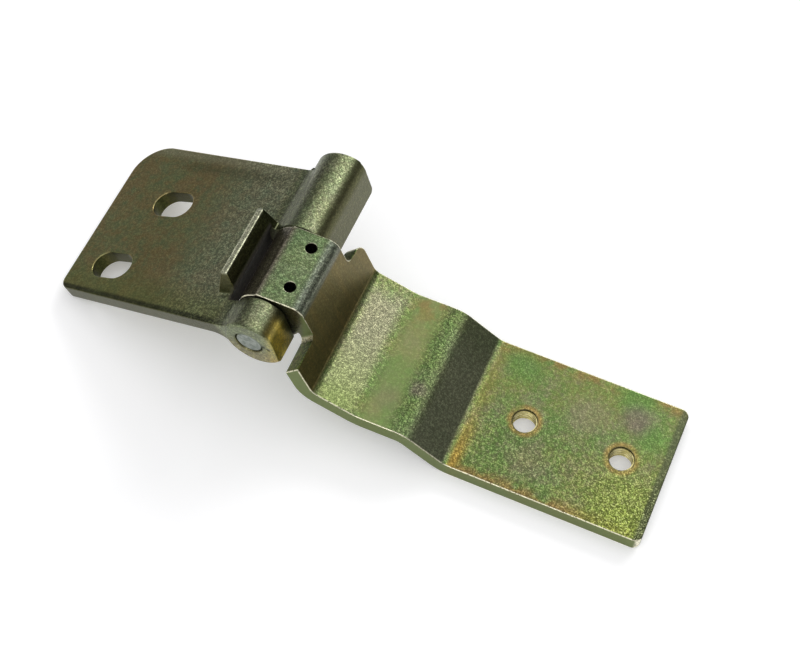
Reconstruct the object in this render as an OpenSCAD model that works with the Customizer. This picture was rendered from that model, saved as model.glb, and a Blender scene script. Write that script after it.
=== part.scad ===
// Car door hinge: a forged pillar leaf, a folded door strap and the pin that joins them.
// X runs along the strap, Y along the pin, Z up. The origin lies on the strap's seat face,
// midway between its threaded holes. The hinge is drawn lying on its seat face with the
// pillar leaf leaning down to the same level.

/* [Pillar leaf] */
// knuckle's middle to the plate's outer edge
plate_len = 77; // [70:1:84]
// plate width along the pin
plate_w = 58.5; // [56:0.5:62]
// plate thickness
plate_t = 5; // [4:0.5:6]
// plate's front face above the knuckle's middle
plate_rise = 6.7; // [6:0.1:7.4]
// lean of the plate's two side edges off square, in degrees
plate_lean = 5.3; // [3:0.1:6]
// rounding of the outer corner beside the short barrel
corner_small_r = 3.5; // [2:0.5:6]
// rounding of the outer corner beside the long barrel
corner_large_r = 11; // [8:0.5:14]
// outside radius of the two barrels
barrel_r = 9.4; // [9:0.1:9.6]
// flat along the barrels on the strap's side, distance from the knuckle's middle
barrel_flat = 6.6; // [6.4:0.1:7.4]
// turn of that flat towards the back, in degrees
flat_turn = 13; // [8:1:18]
// rounding from the flat into the barrels' front
flat_r = 7; // [6:0.5:7.5]
// rounding of the barrels' outer ends
end_r = 1.5; // [1:0.1:2]
// length of the short barrel
short_len = 10; // [8:0.1:12]
// length of the long barrel
long_len = 29; // [25:0.5:31]
// blend between plate and barrel on the front
front_blend_r = 8; // [5:0.5:10]
// blend between plate and barrel on the back
back_blend_r = 6; // [4:0.5:8]

/* [Slots] */
// slot width, for a loose 8 mm bolt
slot_w = 9.4; // [8.6:0.1:10]
// slot length, end to end
slot_len = 14.6; // [12:0.2:16]
// first slot: distance from the knuckle's middle
slot_a_x = 52; // [48:0.5:55]
// first slot: place along the pin
slot_a_y = 19.2; // [16:0.2:22]
// second slot: distance from the knuckle's middle
slot_b_x = 61.3; // [58:0.1:63]
// second slot: place along the pin
slot_b_y = -5.8; // [-6.5:0.1:-3]

/* [Stop lug] */
// lug's working face, distance from the knuckle's middle
lug_x = 8.4; // [8:0.1:9]
// lug's top above the knuckle's middle
lug_top = 15; // [13:0.1:16]
// width of the lug's top strip
lug_strip = 2.2; // [1.5:0.1:3]
// run of the slope from the strip down to the plate
lug_slope = 5; // [3:0.5:8]
// near end of the top strip along the pin
lug_y = -9.7; // [-10.5:0.1:-8]
// length of the top strip
lug_len = 23.8; // [20:0.2:25]
// run of the slope at each end of the lug
lug_end = 1.6; // [0.8:0.2:2.4]

/* [Pin] */
// pin radius
pin_r = 4.25; // [4.2:0.05:4.5]
// shift of the pin from the knuckle's middle, towards the plate
pin_shift = 1.5; // [1:0.1:1.6]
// depth of the pin's ends below the barrels' ends
pin_recess = 0.3; // [0:0.1:0.6]
// chamfer on the pin's ends
pin_chamfer = 0.5; // [0.2:0.1:0.8]
// radial running clearance of the pin in the knuckle
pin_gap = 0.05; // [0.02:0.01:0.09]

/* [Knuckle] */
// outside radius of the knuckle
knuckle_r = 9.6; // [9.2:0.1:10]
// knuckle length along the pin
knuckle_len = 25.1; // [24:0.1:26]
// end clearance between knuckle and barrels
side_gap = 0.35; // [0.2:0.05:0.5]
// clearance between the knuckle and the plate's scooped edge
scoop_gap = 1.1; // [0.8:0.1:1.4]
// reach of the knuckle's flat top past the knuckle's middle, towards the lug
knuckle_flat = 3.4; // [2:0.1:3.6]
// knuckle's middle to the corner where the knuckle's flat top meets the wall
knuckle_x = 10.05; // [9.6:0.05:10.6]
// rounding of that corner
knuckle_bend_r = 4; // [2.5:0.5:4.5]
// radius of the oil holes
oil_r = 1.6; // [1.2:0.1:1.8]
// oil holes' distance from the knuckle's middle
oil_x = 4.2; // [3:0.1:4.4]
// spacing of the oil holes
oil_spacing = 14; // [12:0.5:16]
// shift of the oil holes from the knuckle's middle
oil_y = 0.6; // [0:0.1:1]

/* [Door strap] */
// strap thickness
strap_t = 5.5; // [5:0.1:6]
// strap width
strap_w = 45; // [43:0.5:48]
// shift of the strap from the knuckle's middle
strap_y = -1.6; // [-2.4:0.1:0]
// pin axis above the seat face
axis_h = 31.6; // [30:0.1:33]
// knuckle's middle to the strap's tip
tip_x = 119.4; // [116:0.2:124]
// knuckle's middle to the foot of the ramp
ramp_x = 59.6; // [57:0.2:62]
// knuckle's middle to the crest above the ramp
crest_x = 47; // [45:0.2:48]
// knuckle's middle to the bend before the level middle
bend_x = 31.8; // [30:0.2:33]
// knuckle's middle to the fold at the foot of the wall
fold_x = 18.3; // [17.5:0.1:19]
// level middle above the end flat
middle_h = 8.6; // [7.6:0.1:9.6]
// fold above the end flat
fold_h = 12.9; // [12:0.1:13.6]
// inside radius at the fold
fold_r = 4; // [3:0.5:5]
// inside radius at the bend
bend_r = 12; // [8:1:16]
// inside radius at the crest
crest_r = 4; // [3:0.5:6]
// inside radius at the foot of the ramp
ramp_r = 6; // [4:0.5:8]
// rounding of the tip's corners
tip_r = 2.5; // [1.5:0.5:4]

/* [Corner tabs] */
// top of the tabs on the wall's outer face, below the pin axis
tab_front = 2; // [1:0.2:3]
// extra height of the tab beside the long barrel
tab_rise = 2.2; // [0:0.2:2.4]
// fall of the tabs' top towards the wall's inner face, in degrees
tab_fall = 50; // [44:1:52]
// rounding at the inner corner of each relief notch
notch_r = 2; // [1:0.5:2.5]
// rounding of the outer corner of the tab beside the long barrel
tab_r = 4; // [3:0.5:6]

/* [Threaded holes] */
// core radius of the M8 thread
thread_r = 3.4; // [3.3:0.05:3.5]
// knuckle's middle to the first hole
thread_x = 75.8; // [74:0.2:78]
// spacing of the two holes
thread_spacing = 30; // [28:0.5:32]
// chamfer at the holes' mouths
thread_chamfer = 0.4; // [0.2:0.1:0.6]

/* [Hidden] */
$fn = 96;
eps = 0.01;
// rounds run this far past their neighbours, so that the faces cross cleanly
tuck = 0.02;
reach = 200;
seat_x = thread_x + thread_spacing / 2;
plate_back = plate_rise - plate_t;
plate_tilt = atan2(plate_back, plate_len)
           + asin(axis_h / sqrt(plate_len * plate_len + plate_back * plate_back));
gap_half = knuckle_len / 2 + side_gap;
near_end = -gap_half - short_len;
far_end = gap_half + long_len;
scoop_r = knuckle_r + scoop_gap;
lean = tan(plate_lean);
tab_x = knuckle_x
      + (fold_x - knuckle_x) * (tab_front + knuckle_r) / (axis_h + knuckle_r - strap_t - fold_h);

// strap's upper face, corner by corner, from the knuckle's flat top to the tip
path = [[-knuckle_flat, axis_h + knuckle_r], [knuckle_x, axis_h + knuckle_r], [fold_x, strap_t + fold_h],
        [bend_x, strap_t + middle_h], [crest_x, strap_t + middle_h], [ramp_x, strap_t], [tip_x, strap_t]];
path_r = [0, 0, fold_r, bend_r, crest_r, ramp_r, 0];

function unit(a) = [cos(a), sin(a)];
function heading(i) = atan2(path[i + 1][1] - path[i][1], path[i + 1][0] - path[i][0]);
function turn(i) = heading(i) - heading(i - 1);
function face_r(i) = turn(i) > 0 ? path_r[i] : path_r[i] + strap_t;
function trim(i) = face_r(i) * tan(abs(turn(i)) / 2);
function before(i) = path[i] - trim(i) * unit(heading(i - 1));
function after(i) = path[i] + trim(i) * unit(heading(i));
function under(a) = -strap_t * unit(a + 90);
function mitre(i) = path[i] - strap_t / cos(turn(i) / 2) * unit((heading(i - 1) + heading(i)) / 2 + 90);
function upper(i) = turn(i) < 0 ? [before(i), after(i)] : [path[i]];
function lower(i) = turn(i) < 0 ? [mitre(i)]
                  : [after(i) + under(heading(i)), before(i) + under(heading(i - 1))];

// stretches a drawing of X and Z along Y
module along_y(y0, len) {
    translate([0, y0 + len, 0]) rotate([90, 0, 0]) linear_extrude(len) children();
}

module rod(r, y0, len) {
    translate([0, y0, 0]) rotate([-90, 0, 0]) cylinder(r = r, h = len);
}

// moves from the knuckle's middle to the seat's frame
module from_middle() {
    translate([-seat_x, -strap_y, 0]) children();
}

// puts a rod on the pin's line
module on_pin() {
    translate([-pin_shift, 0, axis_h]) children();
}

// wedge from angle a to angle b
module wedge(r, a, b) {
    polygon([[0, 0], 3 * r * unit(a), 3 * r * unit((a + b) / 2), 3 * r * unit(b)]);
}

// pie slice that rounds an outside corner, from angle a up to angle b
module slice(r, a, b) {
    intersection() {
        circle(r + tuck);
        wedge(r, a - 8, b + 8);
    }
}

// what is rounded off an outside corner, from angle a to angle b
module corner_cut(r, a, b) {
    difference() {
        wedge(r, a, b);
        circle(r + tuck);
    }
}

// bend of the strap at corner i: its outside round, then the fillet inside it
module bend(i) {
    up = turn(i) > 0 ? 1 : -1;
    start = heading(i - 1);
    a = min(start, heading(i)) - up * 90;
    b = max(start, heading(i)) - up * 90;
    middle_r = path_r[i] + strap_t / 2;
    translate(path[i] - trim(i) * unit(start) + up * face_r(i) * unit(start + 90)) {
        difference() {
            slice(path_r[i] + strap_t, a, b);
            circle(middle_r);
        }
        difference() {
            intersection() {
                circle(middle_r + 1);
                wedge(middle_r + 1, a, b);
            }
            circle(path_r[i] + tuck);
        }
    }
}

// strap's section: straight stretches cut across at the outside of each bend, then the bends
module strip_drawing() {
    polygon([path[1], for (i = [2:5]) each upper(i), path[6], path[6] + under(heading(5)),
             for (i = [5:-1:2]) each lower(i), path[1] + under(heading(1))]);
    for (i = [2:5]) bend(i);
}

// frame on the slanting top of the tab on side s: X runs up to the wall's outer face, Z out of the top
module on_tab_top(s) {
    rise = s > 0 ? -tab_rise * unit(heading(1)) : [0, 0];
    translate([tab_x + rise[0], 0, axis_h - tab_front + rise[1]]) rotate([0, -tab_fall, 0]) children();
}

module above_tab(s) {
    on_tab_top(s) translate([-reach / 2, s > 0 ? 0 : -reach, 0]) cube(reach);
}

// fillet between the tab's top and the knuckle's end, on side s
module notch_fillet(s) {
    y = knuckle_len / 2 + notch_r;
    on_tab_top(s) difference() {
        translate([-reach / 2, s > 0 ? y - notch_r - 1 : -y, -1]) cube([reach, notch_r + 1, notch_r + 1]);
        translate([0, s * y, notch_r]) rotate([0, 90, 0])
            cylinder(r = notch_r + tuck, h = 2 * reach, center = true);
    }
}

// what is rounded off the tab beside the long barrel
module tab_corner() {
    on_tab_top(1) translate([0, strap_y + strap_w / 2 - tab_r, -tab_r]) difference() {
        translate([-strap_t * 2, 0, 0]) cube([strap_t * 4, tab_r + 1, tab_r + 1]);
        rotate([0, 90, 0]) cylinder(r = tab_r + tuck, h = strap_t * 5, center = true);
    }
}

// knuckle with its flat top and the wall under it
module knuckle_drawing() {
    r = knuckle_bend_r;
    wall = under(heading(1));
    translate([0, axis_h]) circle(knuckle_r);
    difference() {
        polygon([[0, axis_h], [0, axis_h] + (knuckle_r - 0.6) * unit(135), path[0], path[1], path[2],
                 before(2) + wall, path[1] + wall]);
        translate(path[1] - [r * tan(-turn(1) / 2), r]) corner_cut(r, 90 + turn(1), 90);
    }
}

module tip_plan() {
    difference() {
        translate([0, -strap_w / 2]) square([tip_x, strap_w]);
        for (s = [-1, 1]) translate([tip_x - tip_r, s * (strap_w / 2 - tip_r)]) corner_cut(tip_r, 0, s * 90);
    }
}

module thread_hole(x) {
    translate([x, strap_y, 0]) {
        translate([0, 0, -1]) cylinder(r = thread_r, h = strap_t + 2);
        translate([0, 0, -eps])
            cylinder(r1 = thread_r + thread_chamfer + eps, r2 = thread_r, h = thread_chamfer + eps);
        translate([0, 0, strap_t - thread_chamfer])
            cylinder(r1 = thread_r, r2 = thread_r + thread_chamfer + eps, h = thread_chamfer + eps);
    }
}

module door_strap() {
    color([0.46, 0.47, 0.27]) from_middle() difference() {
        union() {
            along_y(-knuckle_len / 2, knuckle_len) knuckle_drawing();
            intersection() {
                along_y(strap_y - strap_w, 2 * strap_w) strip_drawing();
                translate([0, strap_y, -1]) linear_extrude(reach) tip_plan();
                union() {
                    difference() {
                        translate([0, -reach / 2, -reach / 2]) cube(reach);
                        for (s = [-1, 1]) above_tab(s);
                        tab_corner();
                    }
                    for (s = [-1, 1]) notch_fillet(s);
                }
            }
        }
        on_pin() rod(pin_r + pin_gap, -reach / 2, reach);
        for (s = [-1, 1]) translate([oil_x, oil_y + s * oil_spacing / 2, axis_h])
            cylinder(r = oil_r, h = reach);
        thread_hole(thread_x);
        thread_hole(thread_x + thread_spacing);
    }
}

// plate and its blends into the barrel, seen along the pin
module leaf_drawing() {
    front_x = sqrt(pow(barrel_r + front_blend_r, 2) - pow(plate_rise + front_blend_r, 2));
    back_x = sqrt(pow(barrel_r + back_blend_r, 2) - pow(plate_back - back_blend_r, 2));
    front_c = [-front_x, plate_rise + front_blend_r];
    back_c = [-back_x, plate_back - back_blend_r];
    translate([-plate_len, plate_back]) square([plate_len, plate_t]);
    difference() {
        polygon([[-front_x, plate_rise - 1], [-front_x, plate_rise],
                 front_c * barrel_r / (barrel_r + front_blend_r), [0, 0]]);
        translate(front_c) circle(front_blend_r + tuck);
    }
    difference() {
        polygon([[-back_x, plate_back + 1], [0, 1], [0, 0],
                 back_c * barrel_r / (barrel_r + back_blend_r), [-back_x, plate_back]]);
        translate(back_c) circle(back_blend_r + tuck);
    }
}

// plate seen from its front: outer corners rounded, side edges leaning off square
module leaf_plan() {
    near_y = near_end + lean * plate_len;
    far_y = near_y + plate_w;
    near_run = corner_small_r * tan(45 - plate_lean / 2);
    far_run = corner_large_r * tan(45 + plate_lean / 2);
    difference() {
        polygon([[0, near_end], [-plate_len, near_y], [-plate_len, far_y], [0, far_y - lean * plate_len]]);
        translate([corner_small_r - plate_len, near_y + near_run])
            corner_cut(corner_small_r, 180, 270 - plate_lean);
        translate([corner_large_r - plate_len, far_y - far_run])
            corner_cut(corner_large_r, 90 - plate_lean, 180);
    }
}

module stop_lug() {
    low = plate_rise - 1.5;
    intersection() {
        along_y(lug_y - lug_end, lug_len + 2 * lug_end)
            polygon([[-lug_x, low], [-lug_x, lug_top], [-lug_x - lug_strip, lug_top],
                     [-lug_x - lug_strip - lug_slope, plate_rise], [-lug_x - lug_strip - lug_slope, low]]);
        translate([-reach / 2, 0, 0]) rotate([90, 0, 90]) linear_extrude(reach)
            polygon([[lug_y - lug_end, low], [lug_y + lug_len + lug_end, low],
                     [lug_y + lug_len + lug_end, plate_rise], [lug_y + lug_len, lug_top],
                     [lug_y, lug_top], [lug_y - lug_end, plate_rise]]);
    }
}

// barrel with its rounded outer end at y0 and its inner end at y1
module barrel(y0, y1) {
    translate([0, y0, 0]) rotate([-90, 0, 0]) rotate_extrude() difference() {
        square([barrel_r, y1 - y0]);
        translate([barrel_r - end_r, end_r]) corner_cut(end_r, -90, 0);
    }
}

// what the flat and its rounding take off the barrels
module beyond_flat() {
    c = [barrel_flat - flat_r, sqrt(pow(barrel_r - flat_r, 2) - pow(barrel_flat - flat_r, 2))];
    difference() {
        translate([0, -reach / 2]) square([reach, reach]);
        translate([-1, -reach]) square([barrel_flat + 1, reach + c[1]]);
        translate(c) circle(flat_r + tuck);
    }
}

// room for the knuckle between the barrels, round on the plate's side
module knuckle_room() {
    on_pin() rod(scoop_r, -gap_half, 2 * gap_half);
    translate([0, -gap_half, 0]) cube([reach, 2 * gap_half, reach]);
}

module slot(x, y) {
    half = (slot_len - slot_w) / 2;
    translate([-x, y, 0]) {
        for (s = [-1, 1]) translate([s * half, 0, 0]) cylinder(r = slot_w / 2, h = reach, center = true);
        cube([2 * half, slot_w, reach], center = true);
    }
}

module pillar_leaf() {
    color([0.42, 0.40, 0.24]) from_middle() difference() {
        translate([0, 0, axis_h]) rotate([0, -plate_tilt, 0]) difference() {
            union() {
                intersection() {
                    along_y(-reach / 2, reach) leaf_drawing();
                    translate([0, 0, -reach / 2]) linear_extrude(reach) leaf_plan();
                }
                barrel(near_end, 1 - gap_half);
                mirror([0, 1, 0]) barrel(-far_end, 1 - gap_half);
                stop_lug();
            }
            rotate([0, flat_turn, 0]) along_y(-reach / 2, reach) beyond_flat();
            slot(slot_a_x, slot_a_y);
            slot(slot_b_x, slot_b_y);
        }
        knuckle_room();
        on_pin() rod(pin_r, -reach / 2, reach);
    }
}

module hinge_pin() {
    len = far_end - near_end - 2 * pin_recess;
    color([0.70, 0.70, 0.68]) from_middle() on_pin() translate([0, near_end + pin_recess, 0]) rotate([-90, 0, 0]) {
        cylinder(r1 = pin_r - pin_chamfer, r2 = pin_r, h = pin_chamfer);
        translate([0, 0, pin_chamfer]) cylinder(r = pin_r, h = len - 2 * pin_chamfer);
        translate([0, 0, len - pin_chamfer]) cylinder(r1 = pin_r, r2 = pin_r - pin_chamfer, h = pin_chamfer);
    }
}

pillar_leaf();
door_strap();
hinge_pin();
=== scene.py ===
import math

import bpy
from mathutils import Matrix, Vector


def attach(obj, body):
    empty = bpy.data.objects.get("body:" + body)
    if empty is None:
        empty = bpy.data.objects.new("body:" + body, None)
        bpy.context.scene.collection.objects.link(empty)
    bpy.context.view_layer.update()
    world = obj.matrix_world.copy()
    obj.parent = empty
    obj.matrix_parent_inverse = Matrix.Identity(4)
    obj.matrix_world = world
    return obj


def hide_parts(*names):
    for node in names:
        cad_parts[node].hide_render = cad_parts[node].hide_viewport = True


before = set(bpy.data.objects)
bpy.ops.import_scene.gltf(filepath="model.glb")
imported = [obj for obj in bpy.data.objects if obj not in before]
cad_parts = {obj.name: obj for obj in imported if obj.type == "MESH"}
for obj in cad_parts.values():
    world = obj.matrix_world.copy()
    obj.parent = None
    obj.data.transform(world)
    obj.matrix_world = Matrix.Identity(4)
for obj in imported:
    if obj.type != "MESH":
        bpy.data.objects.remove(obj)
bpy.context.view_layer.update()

MM = 0.001

# Places on the hinge, in metres, in the part's frame
MIDDLE = Vector((-90.8, 1.6, 31.6)) * MM
PIN_LINE = Vector((-92.3, 1.6, 31.6)) * MM
NEAR_END = -21.3 * MM
PLATE_COS = 0.90268
PLATE_SIN = 0.43032
FAR_EDGE = 37.2 * MM
FAR_SLANT = 0.0928
STRAP_T = 5.5 * MM
STRAP_HALF = 22.5 * MM
TIP_X = 28.6 * MM
HOLE_X = (-15.0 * MM, 15.0 * MM)

# Worn edges: how far each piece is rounded, and from what turn an edge is sharp
LEAF_WEAR = 0.5 * MM
STRAP_WEAR = 0.45 * MM
PIN_WEAR = 0.12 * MM
WEAR_STEPS = 3
SHARP_TURN = math.radians(50)
PIN_SHARP_TURN = math.radians(38)
SMALL_FACE = 0.8 * MM * MM
MERGE_GAP = 0.05 * MM
FLAT_TURN = math.radians(1.0)
SMOOTH_TURN = math.radians(35)

# The thread of the two holes
HOLE_CORE = 3.4 * MM
HOLE_ROOT = 4.0 * MM
WALL_GAP = 0.1 * MM
PITCH = 1.25 * MM
CREST_RADIUS = HOLE_CORE + 0.03 * MM
FOOT_RADIUS = HOLE_ROOT + 0.10 * MM
FOOT_WIDTH = 0.95 * PITCH
CREST_SHARE = 0.22
THREAD_TURNS = 7
TURN_STEPS = 48
THREAD_START = -1.2 * MM
THREAD_INSET = 0.45 * MM
CUT_GAP = 0.0001 * MM
THREAD_SMOOTH_TURN = math.radians(30)

# Studio: floor, sky and lamps (name, toward, distance, width, height, watts)
FLOOR_SIZE = 12.0
FLOOR_GLOW = 0.28
SKY_STARTS = 0.42
SKY_FULL = 0.88
SKY_RISE = 0.92
SKY_LEAST = 0.13
LAMP_AIM = Vector((-0.04, 0.0, 0.01))
LAMPS = (("softbox", (0.36, 0.45, 0.82), 1.3, 0.75, 0.75, 0.7),
         ("back_light", (0.15, 0.82, 0.55), 1.4, 0.90, 0.45, 8.5),
         ("near_fill", (-0.12, -0.82, 0.50), 1.3, 0.60, 0.25, 2.6))

# The photograph's camera
LENS = 70.40
SENSOR = 36.0
NEAREST = 0.01
CAMERA_PLACE = (0.0310, -0.19845, 0.41810)
CAMERA_RIGHT = (0.91573, 0.40180, 0.00263)
CAMERA_UP = (-0.35212, 0.79932, 0.48694)
CAMERA_BACK = (0.19354, -0.44683, 0.87343)


def rgb(red, green, blue):
    return (red, green, blue, 1.0)


# Yellow plating as it comes, alike on every plated piece, with painted glints, a painted shade for
# holes and hollows, and a grain contrast that is partly painted sparkle
GREEN = rgb(0.150, 0.222, 0.070)
LEAF_GREEN = rgb(0.122, 0.238, 0.060)
STRAW = rgb(0.212, 0.238, 0.076)
ROSE = rgb(0.224, 0.212, 0.125)
GLINT = rgb(0.640, 0.650, 0.330)
PAINTED_HOLLOW_SHADE = rgb(0.020, 0.016, 0.011)
PLATING_METAL = 0.92
MEAN_LIGHT = 0.30
# How strongly the grain's painted sparkle lightens and darkens the tint
SPARK = 1.5

# Tints of the strap, from the knuckle to the tip, with painted shade on the wall, the ramp and the
# knuckle's end, and a painted highlight on the worn edges
PURPLE = rgb(0.180, 0.140, 0.120)
KNUCKLE_GREEN = rgb(0.195, 0.280, 0.155)
SILVER = rgb(0.150, 0.160, 0.140)
WALL_BROWN_AND_SHADE = rgb(0.185, 0.140, 0.052)
WALL_DARK_AND_SHADE = rgb(0.140, 0.115, 0.045)
PAINTED_CREVICE_SHADE = rgb(0.060, 0.046, 0.024)
SLOPE_PALE = rgb(0.320, 0.305, 0.200)
SLOPE_LIME = rgb(0.300, 0.370, 0.130)
MIDDLE_GREEN = rgb(0.220, 0.310, 0.102)
MIDDLE_GOLD = rgb(0.280, 0.300, 0.130)
CREST_GREEN = rgb(0.115, 0.180, 0.062)
RAMP_GREY = rgb(0.162, 0.172, 0.110)
RAMP_DARK_AND_SHADE = rgb(0.108, 0.122, 0.068)
FOOT_GOLD = rgb(0.360, 0.245, 0.055)
ORANGE = rgb(0.285, 0.175, 0.055)
BRIGHT_LIME = rgb(0.265, 0.330, 0.062)
HALO = rgb(0.400, 0.250, 0.075)
THREAD_GOLD = rgb(0.160, 0.140, 0.055)
TIP_DARK = rgb(0.100, 0.115, 0.060)
SIDE_OLIVE = rgb(0.175, 0.215, 0.075)
WORN_EDGE_AND_HIGHLIGHT = rgb(0.900, 0.860, 0.640)

# Oil holes, and tinted spots (x and y in mm, reach in mm, strength, tint)
OIL_HOLES = ((-86.6, -4.8), (-86.6, 9.2))
SPOTS = ((-22.0, 17.0, 9.0, 0.7, LEAF_GREEN), (13.5, 20.0, 9.0, 0.8, LEAF_GREEN),
         (21.5, 9.0, 8.0, 0.6, LEAF_GREEN), (1.0, 9.0, 9.0, 0.6, ROSE),
         (15.0, 13.5, 7.0, 0.7, PURPLE), (-9.5, -12.0, 8.0, 0.5, ROSE),
         (-46.0, -7.0, 4.0, 0.6, PURPLE), (-53.0, -13.0, 6.0, 0.4, ROSE))

# Tints of the leaf: plate, barrels, lug and slots, with painted highlights on the barrels and the
# far rim, painted shade on the barrels' flanks, the stop face, the slots and the groove, and a
# painted dark reflection along the near edge
PLATE_BROWN = rgb(0.335, 0.250, 0.112)
PLATE_OLIVE = rgb(0.272, 0.276, 0.124)
PLATE_RUST = rgb(0.350, 0.240, 0.100)
PLATE_GREEN = rgb(0.210, 0.265, 0.125)
PAINTED_RIM_HIGHLIGHT = rgb(0.420, 0.410, 0.250)
PLATE_BLUE = rgb(0.300, 0.350, 0.240)
PLATE_YELLOW = rgb(0.240, 0.260, 0.080)
PAINTED_GROOVE_SHADE = rgb(0.130, 0.130, 0.065)
PLATE_SIDE = rgb(0.085, 0.085, 0.040)
PAINTED_RIDGE_HIGHLIGHT = rgb(0.300, 0.320, 0.215)
PAINTED_FLANK_SHADE_BROWN = rgb(0.085, 0.082, 0.034)
PAINTED_FLANK_SHADE_GREY = rgb(0.078, 0.080, 0.046)
STRIP_PALE = rgb(0.720, 0.730, 0.520)
PAINTED_DARK = rgb(0.035, 0.040, 0.018)
PAINTED_SLOT_SHADE = rgb(0.060, 0.065, 0.018)
ORANGE_GOLD = rgb(0.980, 0.720, 0.120)
END_ROSE = rgb(0.260, 0.200, 0.090)
END_GREEN = rgb(0.170, 0.200, 0.110)
STAKE_DARK = rgb(0.030, 0.035, 0.015)

# Staking marks beside the pin, in mm from its middle
STAKE_MARKS = ((4.9, 1.3), (6.4, 0.7))

# Tints of the pin, the thread and the floor
PIN_DULL = rgb(0.18, 0.21, 0.18)
PIN_PALE = rgb(0.34, 0.37, 0.33)
PIN_RIM = rgb(0.10, 0.12, 0.06)
PIN_METAL = 0.85
THREAD_DULL = rgb(0.50, 0.44, 0.16)
THREAD_BRIGHT = rgb(0.78, 0.70, 0.34)
PAINTED_ROOT_SHADE = rgb(0.060, 0.052, 0.020)
THREAD_METAL = 0.95
THREAD_ROUGH = 0.24
FLOOR_PALE = rgb(0.85, 0.85, 0.86)
FLOOR_ROUGH = 0.9
WHITE = rgb(1.0, 1.0, 1.0)


class Shade:
    """A socket of a shader, with arithmetic that adds Math nodes."""

    def __init__(self, tree, socket=None):
        self.tree = tree
        self.socket = socket

    def node(self, kind, inputs=None, out=0, **settings):
        """Adds a node: its settings first, then the values or links of its sockets."""
        made = self.tree.nodes.new(kind)
        for key, value in settings.items():
            setattr(made, key, value)
        for key, value in (inputs or {}).items():
            if isinstance(value, Shade):
                self.tree.links.new(value.socket, made.inputs[key])
            else:
                made.inputs[key].default_value = value
        return Shade(self.tree, made.outputs[out])

    def math(self, operation, a, b=0.0):
        return self.node("ShaderNodeMath", {0: a, 1: b}, operation=operation)

    def __add__(self, other):
        return self.math("ADD", self, other)

    __radd__ = __add__

    def __sub__(self, other):
        return self.math("SUBTRACT", self, other)

    def __rsub__(self, other):
        return self.math("SUBTRACT", other, self)

    def __mul__(self, other):
        return self.math("MULTIPLY", self, other)

    __rmul__ = __mul__

    def __abs__(self):
        return self.math("ABSOLUTE", self)

    def root(self):
        return self.math("SQRT", self)

    def step(self, low, high):
        """Rises smoothly from 0 at low to 1 at high, or falls where high is below low."""
        ends = (0.0, 1.0) if low < high else (1.0, 0.0)
        limits = {0: self, 1: min(low, high), 2: max(low, high), 3: ends[0], 4: ends[1]}
        return self.node("ShaderNodeMapRange", limits, interpolation_type="SMOOTHSTEP")

    def band(self, low, high, soft):
        """1 between low and high, fading to 0 over soft at each end."""
        return self.step(low - soft, low + soft) * self.step(high + soft, high - soft)

    def blend(self, first, second):
        """Colour first where this value is 0, second where it is 1."""
        return self.node("ShaderNodeMix", {0: self, 6: first, 7: second}, out=2, data_type="RGBA")

    def times(self, colour):
        """A colour made this much brighter."""
        return self.node("ShaderNodeVectorMath", {0: colour, 3: self}, operation="SCALE")

    def noise(self, place, scale, detail, rough):
        return self.node("ShaderNodeTexNoise", {"Vector": place, "Scale": scale,
                                                "Detail": detail, "Roughness": rough})

    def stretched(self, place, scale):
        return self.node("ShaderNodeMapping", {"Vector": place, "Scale": scale})

    def moved(self, place, by):
        return self.node("ShaderNodeMapping", {"Vector": place, "Location": (by, by, by)})


def new_material(name):
    material = bpy.data.materials.new(name)
    material.use_nodes = True
    tree = material.node_tree
    return material, Shade(tree), tree.nodes["Principled BSDF"]


def join(shade, shader, **links):
    """Links values to the shader's sockets of those names."""
    for name, value in links.items():
        shade.tree.links.new(value.socket, shader.inputs[name.replace("_", " ")])


def parts_of(shade, vector, axes="XYZ"):
    return [shade.node("ShaderNodeSeparateXYZ", {0: vector}, out=axis) for axis in axes]


def around(a, b, centre_a, centre_b):
    """Distance from a line, given the two coordinates across it."""
    da = a - centre_a
    db = b - centre_b
    return (da * da + db * db).root()


def grains(shade, place):
    """The plating's own colour and its fine grain, alike on every plated piece."""
    patch = shade.noise(place, 70.0, 3.0, 0.6)
    drift = shade.noise(shade.moved(place, 0.31), 140.0, 3.0, 0.6)
    speck = shade.noise(shade.moved(place, 0.57), 800.0, 2.0, 0.6)
    coarse = shade.noise(place, 1150.0, 2.0, 0.6)
    fine = shade.noise(place, 2600.0, 1.0, 0.5)
    tint = patch.step(0.36, 0.64).blend(GREEN, STRAW)
    tint = (drift.step(0.44, 0.66) * 0.5).blend(tint, ROSE)
    tint = (speck.step(0.46, 0.64) * 0.36).blend(tint, LEAF_GREEN)
    tint = (speck.step(0.50, 0.34) * 0.36).blend(tint, ROSE)
    return tint, patch, drift, coarse * 0.5 + fine * 0.5, fine


def sparkle(grain, calm):
    """How far the grain lightens or darkens a tint, partly the grain's own tone and partly painted
    sparkle: its peaks are bright and few.
    """
    light = grain.step(0.30, 0.74)
    return (light * light - MEAN_LIGHT) * calm * SPARK


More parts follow.
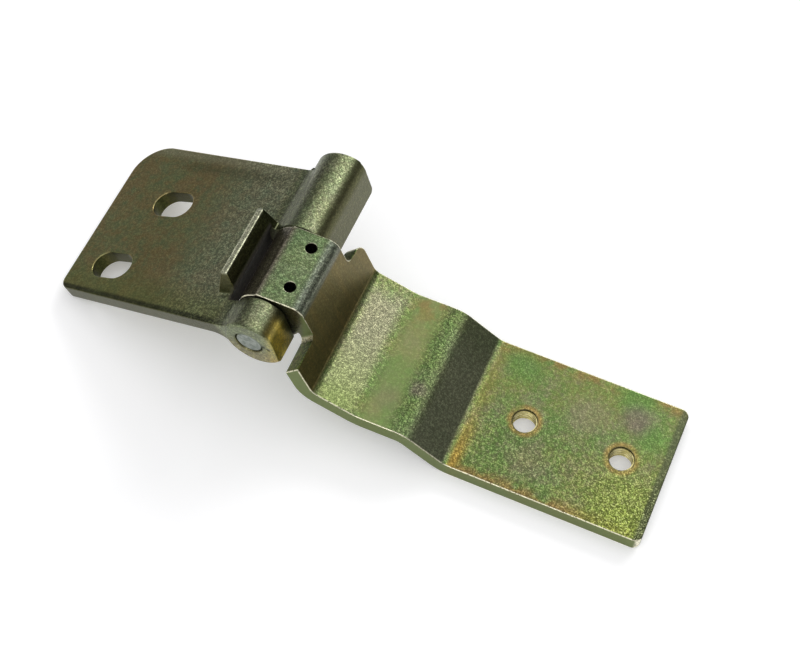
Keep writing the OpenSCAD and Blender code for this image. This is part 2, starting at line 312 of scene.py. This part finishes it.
def strap_plating():
    """The strap's finish: bright and grainy on the slope, smooth and dark at the wall, where the
    dark is partly brown tone and partly painted shade.
    """
    material, shade, shader = new_material("strap_plating")
    place = shade.node("ShaderNodeTexCoord", out="Object")
    x, y, z = parts_of(shade, place)
    facing = shade.node("ShaderNodeTexCoord", out="Normal")
    face_x, face_y = parts_of(shade, facing, "XY")
    side_on = abs(face_y)
    tint, patch, drift, grain, fine = grains(shade, place)

    # Regions along the strap, from the knuckle to the tip
    curl = x.step(-92.0 * MM, -94.5 * MM)
    knuckle = x.step(-80.0 * MM, -82.5 * MM) * z.step(36.0 * MM, 39.0 * MM)
    knuckle_wall = z.step(33.5 * MM, 34.5 * MM)
    knuckle_end = side_on.step(0.80, 0.95) * x.step(-79.5 * MM, -81.5 * MM)
    bend = x.band(-83.0 * MM, -79.0 * MM, 1.0 * MM) * z.step(37.0 * MM, 38.5 * MM)
    wall = face_x.step(0.60, 0.88) * x.step(-70.5 * MM, -72.5 * MM) * z.step(40.0 * MM, 37.6 * MM)
    slope = x.band(-71.0 * MM, -61.0 * MM, 2.0 * MM)
    middle = x.band(-58.5 * MM, -49.0 * MM, 2.5 * MM)
    crest = x.band(-48.0 * MM, -42.0 * MM, 2.0 * MM)
    ramp = x.step(-45.5 * MM, -40.0 * MM) * x.step(-31.0 * MM, -32.6 * MM)
    end_flat = x.step(-31.5 * MM, -30.0 * MM)
    foot = x.band(-31.0 * MM, -27.5 * MM, 1.8 * MM) * end_flat
    tip = x.step(TIP_X - 3.0 * MM, TIP_X - 1.6 * MM)

    # Regions across the strap
    near = y.step(6.0 * MM, -21.0 * MM)
    far = y.step(6.0 * MM, 21.0 * MM)
    inner = abs(y).step(STRAP_HALF - 2.0 * MM, STRAP_HALF - 9.0 * MM)
    rim = abs(y).step(STRAP_HALF - 5.0 * MM, STRAP_HALF - 0.5 * MM)
    side = side_on.step(0.80, 0.95) * x.step(-82.0 * MM, -79.5 * MM)
    worn = side_on.step(0.20, 0.45) * side_on.step(0.97, 0.80)
    corner = near * x.step(2.0 * MM, 20.0 * MM)
    smooth = end_flat * y.step(-12.0 * MM, 14.0 * MM)

    # Wall, slope, middle, ramp and knuckle; the dark of the wall and the ramp is partly their tone
    # and partly painted shade
    streak = shade.noise(shade.stretched(place, (0.12, 1.0, 0.12)), 420.0, 3.0, 0.6)
    # The wall's brown streaks: partly its own tone, partly painted shade on a face turned from the
    # light
    tint = (wall * 0.94).blend(tint, streak.step(0.34, 0.68).blend(WALL_DARK_AND_SHADE, WALL_BROWN_AND_SHADE))
    tint = (slope * (inner * 0.65 + 0.15)).blend(tint, SLOPE_PALE)
    tint = (slope * near * 0.7).blend(tint, SLOPE_LIME)
    tint = (middle * 0.6).blend(tint, patch.step(0.38, 0.62).blend(MIDDLE_GREEN, MIDDLE_GOLD))
    tint = (middle * far * drift.step(0.42, 0.58) * 0.5).blend(tint, ORANGE)
    tint = (crest * 0.6).blend(tint, CREST_GREEN)
    # The ramp: grey on the near side, darker on the far side; the dark is partly its tone and
    # partly painted shade
    tint = (ramp * 0.9).blend(tint, far.blend(RAMP_GREY, RAMP_DARK_AND_SHADE))
    tint = (knuckle * 0.55).blend(tint, KNUCKLE_GREEN)
    tint = (bend * 0.75).blend(tint, SILVER)
    tint = (curl * 0.8).blend(tint, PURPLE)
    bored = 0
    # Painted shade: the oil holes are painted nearly black inside
    for oil_x, oil_y in OIL_HOLES:
        oil = around(x, y, oil_x * MM, oil_y * MM).step(1.95 * MM, 1.65 * MM) * knuckle_wall
        tint = oil.blend(tint, PAINTED_HOLLOW_SHADE)
        bored = bored + oil

    # Heat and wear tints, most of them on the end flat
    tint = (rim * drift.step(0.40, 0.56) * end_flat * 0.7).blend(tint, ORANGE)
    for spot_x, spot_y, reach, share, colour in SPOTS:
        spot = around(x, y, spot_x * MM, spot_y * MM).step(reach * MM, reach * 0.25 * MM)
        tint = (spot * share).blend(tint, colour)
    tint = (corner * 0.7).blend(tint, BRIGHT_LIME)
    tint = (foot * (near * near * 0.8 + 0.2)).blend(tint, FOOT_GOLD)
    for hole_x in HOLE_X:
        hole = around(x, y, hole_x, 0.0)
        halo = hole.step(6.0 * MM, 4.3 * MM) * (drift.step(0.34, 0.60) * 0.45 + 0.25)
        tint = halo.blend(tint, HALO)
        tint = hole.step(4.15 * MM, 3.9 * MM).blend(tint, THREAD_GOLD)
        bored = bored + hole.step(4.6 * MM, 4.2 * MM)
    tint = (tip * 0.85).blend(tint, TIP_DARK)

    # Grain with painted sparkle and painted glints, then the sides and edges over it: painted
    # shade at the knuckle's end, and worn edges that are partly bare metal and partly a painted
    # highlight
    calm = 1 - middle * 0.75 - wall * 0.6 - side * 0.75
    calm = calm - slope * 0.1 + crest * 0.1 + corner * 0.4 - smooth * 0.45 - ramp * 0.3
    tint = (0.94 + sparkle(grain, calm)).times(tint)
    # Painted glints: sparse bright specks on the slope and the near corner
    glint = fine.step(0.60, 0.70) * (0.10 + corner * 0.35 + slope * 0.10)
    tint = (glint * (1 - middle - ramp - wall)).blend(tint, GLINT)
    tint = (side * 0.9).blend(tint, SIDE_OLIVE)
    # Painted shade on the knuckle's end face, in the crevice beside the short barrel
    tint = (knuckle_end * 0.7).blend(tint, PAINTED_CREVICE_SHADE)
    # Worn edges: partly bare metal, partly a painted highlight on the rounded edges
    tint = (worn * (1 - bored) * 0.95 * grain.step(0.34, 0.50)).blend(tint, WORN_EDGE_AND_HIGHLIGHT)

    bump = shade.node("ShaderNodeBump",
                      {"Strength": 1.0, "Distance": 0.16 * MM, "Height": grain * calm})
    rough = 0.28 + drift * 0.10 + middle * 0.05 + side * 0.18
    join(shade, shader, Base_Color=tint, Normal=bump, Roughness=rough)
    shader.inputs["Metallic"].default_value = PLATING_METAL
    return material


def leaf_plating():
    """The leaf's finish: a brown and olive plate, barrels paled by a painted highlight with
    painted shade on their flanks, and a stop face darkened by painted shade.
    """
    material, shade, shader = new_material("leaf_plating")
    place = shade.node("ShaderNodeTexCoord", out="Object")
    x, y, z = parts_of(shade, place)
    facing = shade.node("ShaderNodeTexCoord", out="Normal")
    face_x, face_y, face_z = parts_of(shade, facing)
    tint, patch, drift, grain = grains(shade, place)[:4]

    # Places measured along the leaning plate: out from the pin, up from it, in from the far edge
    out = (x - MIDDLE.x) * -PLATE_COS - (z - MIDDLE.z) * PLATE_SIN
    rise = (z - MIDDLE.z) * PLATE_COS - (x - MIDDLE.x) * PLATE_SIN
    toward_pin = face_x * PLATE_COS + face_z * PLATE_SIN
    upward = face_z * PLATE_COS - face_x * PLATE_SIN
    far_gap = FAR_EDGE + out * FAR_SLANT - y

    by_pin = out.step(12.5 * MM, 8.5 * MM)
    past_pin = out.step(6.0 * MM, 7.5 * MM)
    barrel = by_pin * (y.step(-9.0 * MM, -11.0 * MM) + y.step(13.0 * MM, 15.0 * MM))
    flank = barrel * face_x.step(0.30, 0.75)
    plate = (1 - barrel) * rise.step(7.6 * MM, 7.0 * MM)
    lug = rise.step(7.4 * MM, 9.0 * MM) * past_pin
    strip = rise.step(14.0 * MM, 14.6 * MM) * past_pin
    stop = toward_pin.step(0.70, 0.90) * past_pin
    rim = far_gap.step(5.2 * MM, 1.5 * MM) * out.step(12.0 * MM, 16.0 * MM)
    groove = far_gap.band(4.4 * MM, 7.2 * MM, 2.2 * MM) * out.step(10.0 * MM, 22.0 * MM)
    groove = groove * out.step(68.0 * MM, 48.0 * MM)
    side = abs(face_y).step(0.70, 0.92) * (1 - barrel)
    inside = abs(upward).step(0.55, 0.30) * out.step(38.0 * MM, 42.0 * MM)
    inside = inside * far_gap.step(4.5 * MM, 6.5 * MM) * far_gap.step(54.0 * MM, 52.0 * MM)
    inside = inside * out.step(73.5 * MM, 71.5 * MM)
    hollow = around(x, z, MIDDLE.x, MIDDLE.z).step(13.5 * MM, 12.5 * MM)
    hollow = hollow * y.band(-11.5 * MM, 14.6 * MM, 0.3 * MM)

    # The plate's mottled brown and olive, and a painted dark reflection along its near edge
    olive = patch.step(0.42, 0.60).blend(PLATE_BROWN, PLATE_OLIVE)
    mottle = shade.noise(shade.moved(place, 0.83), 300.0, 4.0, 0.7)
    olive = (mottle.step(0.48, 0.66) * 0.7).blend(olive, PLATE_RUST)
    olive = (mottle.step(0.50, 0.32) * 0.7).blend(olive, PLATE_GREEN)
    tint = (plate * 0.80).blend(tint, olive)
    tint = (lug * 0.5).blend(tint, olive)
    tint = (plate * out.step(48.0 * MM, 16.0 * MM) * 0.60).blend(tint, PLATE_BLUE)
    tint = (plate * far_gap.step(44.0 * MM, 56.0 * MM) * 0.6).blend(tint, PLATE_YELLOW)
    # Painted dark reflection along the near edge, where the top rounds over to the side
    brink = far_gap.step(56.2 * MM, 57.4 * MM) * plate * (mottle * 0.8 + 0.4)
    tint = brink.blend(tint, PAINTED_DARK)

    # Barrels, rim, lug, slots and the hollow round the knuckle, with painted highlights on the
    # barrels and the rim and painted shade on the flanks, the groove, the stop face, the slots and
    # the hollow
    # Painted highlight: the barrels are paled, most on their ridge between the flanks
    tint = (barrel * 0.5).blend(tint, PAINTED_RIDGE_HIGHLIGHT)
    # Painted shade on both flanks of the barrels
    tint = (flank * 0.9).blend(tint, PAINTED_FLANK_SHADE_BROWN)
    tint = (barrel * face_x.step(-0.25, -0.60) * 0.7).blend(tint, PAINTED_FLANK_SHADE_GREY)
    # Painted highlight on the rolled rim along the far edge
    tint = (rim * 0.7).blend(tint, PAINTED_RIM_HIGHLIGHT)
    # Painted shade in the shallow groove beside the rim
    tint = (groove * 0.55).blend(tint, PAINTED_GROOVE_SHADE)
    tint = (strip * 0.8).blend(tint, STRIP_PALE)
    # Painted shade on the lug's stop face, which faces the knuckle
    tint = (stop * 0.85).blend(tint, PAINTED_DARK)
    # Painted shade on the slots' inner walls
    tint = (inside * 0.85).blend(tint, PAINTED_SLOT_SHADE)
    # Painted shade: the hollow round the knuckle is painted nearly black
    tint = (hollow * 0.92).blend(tint, PAINTED_HOLLOW_SHADE)

    # The short barrel's gold corner, and its end around the pin
    low_corner = y.step(-12.0 * MM, -16.5 * MM) * x.step(-88.5 * MM, -83.0 * MM)
    low_corner = low_corner * (mottle.step(0.36, 0.58) * 0.5 + 0.45)
    tint = low_corner.blend(tint, ORANGE_GOLD)
    end = y.step(NEAR_END + 0.9 * MM, NEAR_END + 0.4 * MM) * by_pin
    tint = (end * 0.6).blend(tint, z.step(26.0 * MM, 33.0 * MM).blend(END_ROSE, END_GREEN))
    marks = [around(x, z, PIN_LINE.x + a * MM, PIN_LINE.z + b * MM).step(0.75 * MM, 0.30 * MM)
             for a, b in STAKE_MARKS]
    stake = (marks[0] + marks[1]) * end
    tint = (stake * 0.85).blend(tint, STAKE_DARK)

    # Grain with painted sparkle, then the plate's sides over it
    calm = 0.55 + barrel * 0.55 + lug * 0.5 - flank * 0.6 - hollow * 0.3
    calm = calm + plate * out.step(42.0 * MM, 18.0 * MM) * 0.6 - end * 0.3
    tint = (1 + sparkle(grain, calm)).times(tint)
    tint = (side * 0.8).blend(tint, PLATE_SIDE)

    height = grain * calm - stake * 1.5
    bump = shade.node("ShaderNodeBump", {"Strength": 1.0, "Distance": 0.18 * MM, "Height": height})
    # The painted shade in the hollow is also rough and not metal
    rough = 0.28 + drift * 0.10 + hollow * 0.6
    metal = PLATING_METAL - hollow * 0.85
    join(shade, shader, Base_Color=tint, Normal=bump, Roughness=rough, Metallic=metal)
    return material


def pin_steel():
    """Bare turned steel, rubbed dull, with a dark ring at the pin's edge."""
    material, shade, shader = new_material("pin_steel")
    place = shade.node("ShaderNodeTexCoord", out="Object")
    x, z = parts_of(shade, place, "XZ")
    rub = shade.noise(place, 700.0, 3.0, 0.65)
    radius = around(x, z, PIN_LINE.x, PIN_LINE.z)
    tint = rub.step(0.36, 0.64).blend(PIN_DULL, PIN_PALE)
    tint = (radius.step(3.4 * MM, 4.1 * MM) * 0.8).blend(tint, PIN_RIM)
    bump = shade.node("ShaderNodeBump", {"Strength": 0.5, "Distance": 0.10 * MM, "Height": rub})
    rough = 0.30 + rub * 0.2
    join(shade, shader, Base_Color=tint, Normal=bump, Roughness=rough)
    shader.inputs["Metallic"].default_value = PIN_METAL
    return material


def thread_plating():
    """Gold plating on the thread, bright at its crest and darkened at its root by painted shade.
    """
    material, shade, shader = new_material("thread_plating")
    place = shade.node("ShaderNodeTexCoord", out="Object")
    x, y = parts_of(shade, place, "XY")
    shine = shade.noise(place, 500.0, 2.0, 0.5)
    tint = shine.step(0.38, 0.62).blend(THREAD_DULL, THREAD_BRIGHT)
    depth = around(abs(x), y, HOLE_X[1], 0.0).step(HOLE_CORE + 0.15 * MM, HOLE_ROOT - 0.10 * MM)
    # Painted shade in the thread's root
    tint = depth.blend(tint, PAINTED_ROOT_SHADE)
    join(shade, shader, Base_Color=tint)
    shader.inputs["Metallic"].default_value = THREAD_METAL
    shader.inputs["Roughness"].default_value = THREAD_ROUGH
    return material


def only(piece):
    bpy.ops.object.select_all(action="DESELECT")
    piece.select_set(True)
    bpy.context.view_layer.objects.active = piece


def pick(piece, wanted):
    """Selects the points of a piece whose place passes a test."""
    bpy.ops.mesh.select_all(action="DESELECT")
    bpy.ops.object.mode_set(mode="OBJECT")
    for point in piece.data.vertices:
        point.select = wanted(point.co)
    bpy.ops.object.mode_set(mode="EDIT")


def open_hole(piece, x):
    """Widens a hole's wall to the root of its thread."""
    def on_wall(place):
        return abs(math.hypot(place.x - x, place.y) - HOLE_CORE) < WALL_GAP
    pick(piece, on_wall)
    wider = HOLE_ROOT / HOLE_CORE
    bpy.ops.transform.resize(value=(wider, wider, 1.0), center_override=(x, 0.0, STRAP_T / 2))


def weigh_edges(piece, sharp, least):
    """Marks the sharp edges between faces large enough to be rounded."""
    bpy.ops.mesh.select_mode(type="EDGE")
    bpy.ops.mesh.select_all(action="DESELECT")
    bpy.ops.mesh.edges_select_sharp(sharpness=sharp)
    bpy.ops.object.mode_set(mode="OBJECT")
    small = set()
    for face in piece.data.polygons:
        if face.area < least:
            small.update(face.edge_keys)
    weights = piece.data.attributes.new("bevel_weight_edge", "FLOAT", "EDGE")
    for edge, weight in zip(piece.data.edges, weights.data):
        weight.value = 1.0 if edge.select and edge.key not in small else 0.0


def dressed(node, body, material, wear, sharp, least, holes=()):
    """A copy of a solid with its triangles joined and its edges worn round."""
    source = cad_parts[node]
    piece = source.copy()
    piece.data = source.data.copy()
    piece.name = node + "_finish"
    bpy.context.collection.objects.link(piece)
    piece.parent = None
    piece.matrix_world = Matrix.Identity(4)
    only(piece)
    bpy.ops.object.mode_set(mode="EDIT")
    bpy.ops.mesh.select_mode(type="VERT")
    bpy.ops.mesh.select_all(action="SELECT")
    bpy.ops.mesh.remove_doubles(threshold=MERGE_GAP)
    bpy.ops.mesh.dissolve_limited(angle_limit=FLAT_TURN)
    for x in holes:
        open_hole(piece, x)
    weigh_edges(piece, sharp, least)
    soft = piece.modifiers.new("worn_edges", "BEVEL")
    soft.width = wear
    soft.segments = WEAR_STEPS
    soft.limit_method = "WEIGHT"
    soft.use_clamp_overlap = False
    soft.loop_slide = False
    soft.miter_outer = "MITER_ARC"
    bpy.ops.object.modifier_apply(modifier=soft.name)
    bpy.ops.object.shade_smooth_by_angle(angle=SMOOTH_TURN)
    even = piece.modifiers.new("even_faces", "WEIGHTED_NORMAL")
    even.keep_sharp = True
    even.weight = 100
    bpy.ops.object.modifier_apply(modifier=even.name)
    piece.data.materials.clear()
    piece.data.materials.append(material)
    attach(piece, body)
    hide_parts(node)


def thread_coil(x, material):
    """The thread of a hole: a ridge wound down its wall, cut off inside both mouths."""
    origin = (0.0, 0.0, 0.0)
    half_way = (FOOT_RADIUS + CREST_RADIUS) / 2
    bpy.ops.object.select_all(action="DESELECT")
    bpy.ops.mesh.primitive_plane_add(size=1.0)
    coil = bpy.context.active_object
    coil.name = "thread_coil_1"

    # The ridge's outline: a standing square, drawn to the ridge's size, narrowed at its crest
    bpy.ops.object.mode_set(mode="EDIT")
    bpy.ops.mesh.select_all(action="SELECT")
    bpy.ops.transform.rotate(value=math.radians(90), orient_axis="X", center_override=origin)
    bpy.ops.transform.resize(value=(FOOT_RADIUS - CREST_RADIUS, 1.0, FOOT_WIDTH),
                             center_override=origin)
    bpy.ops.transform.translate(value=(half_way, 0.0, 0.0))
    bpy.ops.mesh.delete(type="ONLY_FACE")
    pick(coil, lambda place: place.x < half_way)
    bpy.ops.transform.resize(value=(1.0, 1.0, CREST_SHARE),
                             center_override=(CREST_RADIUS, 0.0, 0.0))
    bpy.ops.object.mode_set(mode="OBJECT")

    wind = coil.modifiers.new("winding", "SCREW")
    wind.axis = "Z"
    wind.angle = 2 * math.pi
    wind.screw_offset = PITCH
    wind.iterations = THREAD_TURNS
    wind.steps = TURN_STEPS
    wind.render_steps = TURN_STEPS
    wind.use_merge_vertices = False
    bpy.ops.object.modifier_apply(modifier=wind.name)

    # Into its hole, cut and closed at both mouths
    bpy.ops.object.mode_set(mode="EDIT")
    bpy.ops.mesh.select_all(action="SELECT")
    bpy.ops.transform.translate(value=(x, 0.0, THREAD_START))
    for height, up in ((THREAD_INSET, -1.0), (STRAP_T - THREAD_INSET, 1.0)):
        bpy.ops.mesh.select_all(action="SELECT")
        bpy.ops.mesh.bisect(plane_co=(x, 0.0, height), plane_no=(0.0, 0.0, up),
                            clear_outer=True, threshold=CUT_GAP)
        bpy.ops.mesh.fill()
    bpy.ops.mesh.select_all(action="SELECT")
    bpy.ops.mesh.normals_make_consistent(inside=False)
    bpy.ops.object.mode_set(mode="OBJECT")
    bpy.ops.object.shade_smooth_by_angle(angle=THREAD_SMOOTH_TURN)
    coil.data.materials.append(material)
    return coil


def copy_along(piece, name, by):
    """A second piece like the first, with its own mesh, further along the strap."""
    twin = piece.copy()
    twin.name = name
    twin.data = piece.data.copy()
    twin.data.transform(Matrix.Translation((by, 0.0, 0.0)))
    bpy.context.collection.objects.link(twin)
    return twin


def softbox(name, toward, distance, width, height, watts):
    """A lamp with a rectangular face, aimed at the hinge."""
    data = bpy.data.lights.new(name, "AREA")
    data.shape = "RECTANGLE"
    data.size = width
    data.size_y = height
    data.energy = watts
    lamp = bpy.data.objects.new(name, data)
    bpy.context.collection.objects.link(lamp)
    toward = Vector(toward).normalized()
    lamp.location = LAMP_AIM + toward * distance
    lamp.rotation_euler = toward.to_track_quat("Z", "Y").to_euler()


def studio_floor():
    """A pale floor that keeps the shadow and is seen white where it is fully lit."""
    bpy.ops.object.select_all(action="DESELECT")
    bpy.ops.mesh.primitive_plane_add(size=FLOOR_SIZE, location=(0.0, 0.0, 0.0))
    floor = bpy.context.active_object
    floor.name = "floor"
    material, shade, shader = new_material("pale_floor")
    shader.inputs["Base Color"].default_value = FLOOR_PALE
    shader.inputs["Roughness"].default_value = FLOOR_ROUGH
    shader.inputs["Specular IOR Level"].default_value = 0.0
    seen = [shade.node("ShaderNodeLightPath", out=ray)
            for ray in ("Is Camera Ray", "Is Glossy Ray", "Is Transmission Ray")]
    strength = (seen[0] + seen[1] + seen[2]) * FLOOR_GLOW
    glow = shade.node("ShaderNodeEmission", {"Strength": strength})
    tree = material.node_tree
    both = shade.node("ShaderNodeAddShader", {0: Shade(tree, shader.outputs[0]), 1: glow})
    tree.links.new(both.socket, tree.nodes["Material Output"].inputs["Surface"])
    floor.data.materials.append(material)


def studio_sky():
    """A white ceiling of light over a dim room."""
    world = bpy.data.worlds.new("studio_sky")
    world.use_nodes = True
    bpy.context.scene.world = world
    tree = world.node_tree
    shade = Shade(tree)
    sky = shade.node("ShaderNodeTexCoord", out="Generated")
    height, = parts_of(shade, sky, "Z")
    level = height.step(SKY_STARTS, SKY_FULL) * SKY_RISE + SKY_LEAST
    back = tree.nodes["Background"]
    back.inputs["Color"].default_value = WHITE
    tree.links.new(level.socket, back.inputs["Strength"])


def photo_camera():
    """The camera at the photograph's place and angle."""
    data = bpy.data.cameras.new("camera")
    data.sensor_fit = "HORIZONTAL"
    data.sensor_width = SENSOR
    data.lens = LENS
    data.clip_start = NEAREST
    camera = bpy.data.objects.new("camera", data)
    bpy.context.collection.objects.link(camera)
    turn = Matrix((CAMERA_RIGHT, CAMERA_UP, CAMERA_BACK)).transposed().to_4x4()
    camera.matrix_world = Matrix.Translation(CAMERA_PLACE) @ turn
    bpy.context.scene.camera = camera


dressed("pillar_leaf", "pillar", leaf_plating(), LEAF_WEAR, SHARP_TURN, SMALL_FACE)
dressed("door_strap", "strap", strap_plating(), STRAP_WEAR, SHARP_TURN, SMALL_FACE, HOLE_X)
dressed("hinge_pin", "pillar", pin_steel(), PIN_WEAR, PIN_SHARP_TURN, 0.0)

first_coil = thread_coil(HOLE_X[0], thread_plating())
second_coil = copy_along(first_coil, "thread_coil_2", HOLE_X[1] - HOLE_X[0])
for coil in (first_coil, second_coil):
    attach(coil, "strap")

studio_floor()
studio_sky()
for lamp in LAMPS:
    softbox(*lamp)
photo_camera()
bpy.context.scene.view_settings.view_transform = "Standard"
